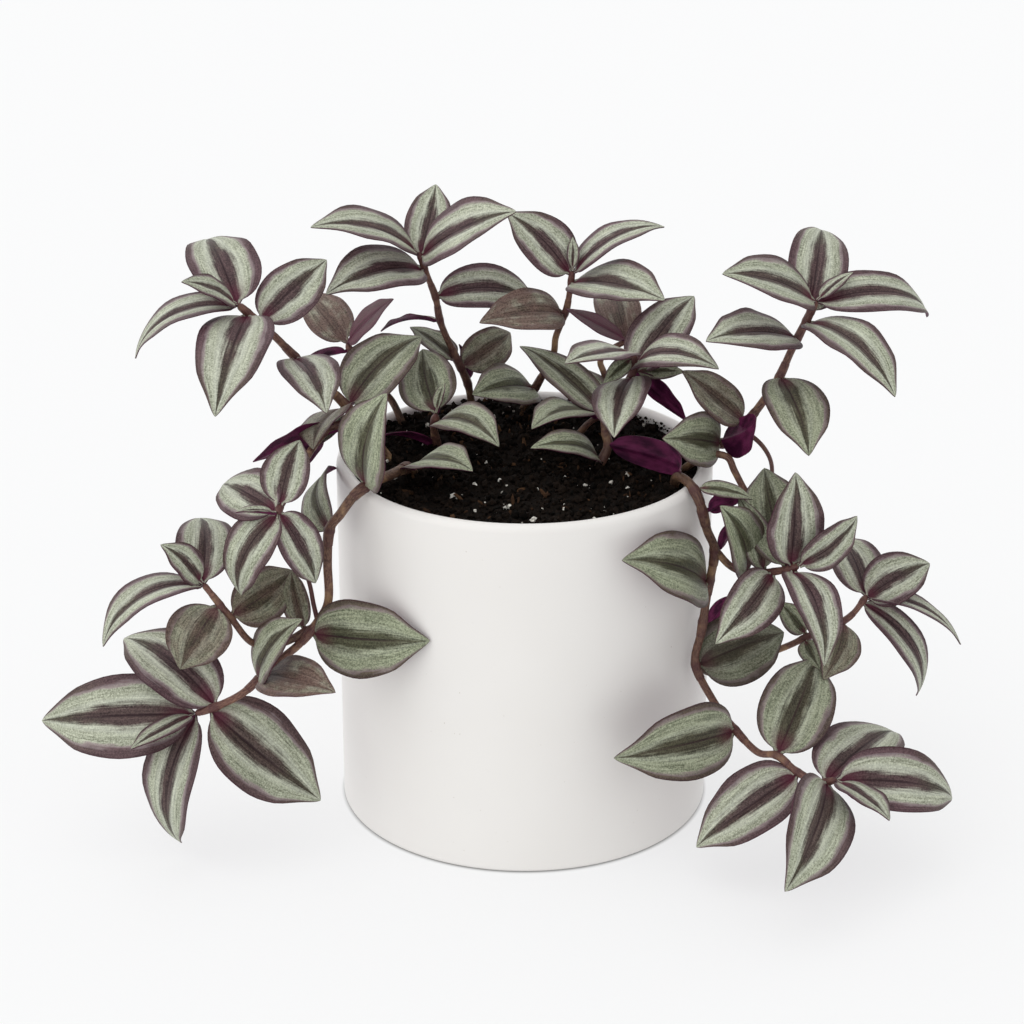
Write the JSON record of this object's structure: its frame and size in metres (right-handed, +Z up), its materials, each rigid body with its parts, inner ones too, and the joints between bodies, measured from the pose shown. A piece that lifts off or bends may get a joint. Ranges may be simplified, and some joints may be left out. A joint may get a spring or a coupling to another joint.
{
  "type": "potted inch plant",
  "caption": "Trailing inch plant with silver and purple striped leaves on arching stems, rooted in mix in a plain white cylindrical pot.",
  "frame": {"origin": "centre of the pot's base, on the surface it stands on", "axes": "+Z up along the pot's axis, +X to the right and -Y towards the viewer, with the trailing shoots to both sides"},
  "size_m": [0.3367, 0.2056, 0.2264],
  "materials": {
    "glaze": "smooth white satin glaze",
    "mix": "near-black loose potting mix with perlite",
    "stem": "smooth fleshy purple-brown stem",
    "leaf": "satin blade, silver green stripes over purple, dark purple below"
  },
  "bodies": {
    "root": {"back_left_leaf_1": "leaf", "back_left_stem": "stem", "back_mid_stem": "stem", "far_branch_leaf_1": "leaf", "far_branch_leaf_2": "leaf", "high_left_leaf_1": "leaf", "high_left_leaf_2": "leaf", "high_left_leaf_3": "leaf", "high_left_leaf_4": "leaf", "high_left_leaf_5": "leaf", "high_left_stem": "stem", "high_right_leaf_1": "leaf", "high_right_leaf_2": "leaf", "high_right_leaf_3": "leaf", "high_right_leaf_4": "leaf", "high_right_leaf_5": "leaf", "high_right_stem": "stem", "inner_left_leaf_1": "leaf", "inner_left_stem": "stem", "inner_mid_leaf_1": "leaf", "inner_mid_stem": "stem", "inner_right_leaf_1": "leaf", "inner_right_leaf_2": "leaf", "inner_right_stem": "stem", "left_branch_leaf_1": "leaf", "left_branch_leaf_2": "leaf", "left_branch_leaf_3": "leaf", "left_branch_leaf_4": "leaf", "left_drape_leaf_1": "leaf", "left_drape_leaf_2": "leaf", "left_drape_stem": "stem", "left_trail_leaf_1": "leaf", "left_trail_leaf_2": "leaf", "left_trail_leaf_3": "leaf", "left_trail_leaf_4": "leaf", "left_trail_leaf_5": "leaf", "left_trail_leaf_6": "leaf", "left_trail_stem": "stem", "pot": "glaze", "potting_mix": "mix", "rear_left_leaf_1": "leaf", "rear_left_leaf_2": "leaf", "rear_left_leaf_3": "leaf", "rear_left_leaf_4": "leaf", "rear_left_stem": "stem", "rear_right_leaf_1": "leaf", "rear_right_leaf_2": "leaf", "rear_right_leaf_3": "leaf", "rear_right_stem": "stem", "right_branch_leaf_1": "leaf", "right_drape_stem": "stem", "right_trail_leaf_1": "leaf", "right_trail_leaf_2": "leaf", "right_trail_leaf_3": "leaf", "right_trail_leaf_4": "leaf", "right_trail_leaf_5": "leaf", "right_trail_leaf_6": "leaf", "right_trail_leaf_7": "leaf", "right_trail_leaf_8": "leaf", "right_trail_stem": "stem"}
  },
  "joints": []
}
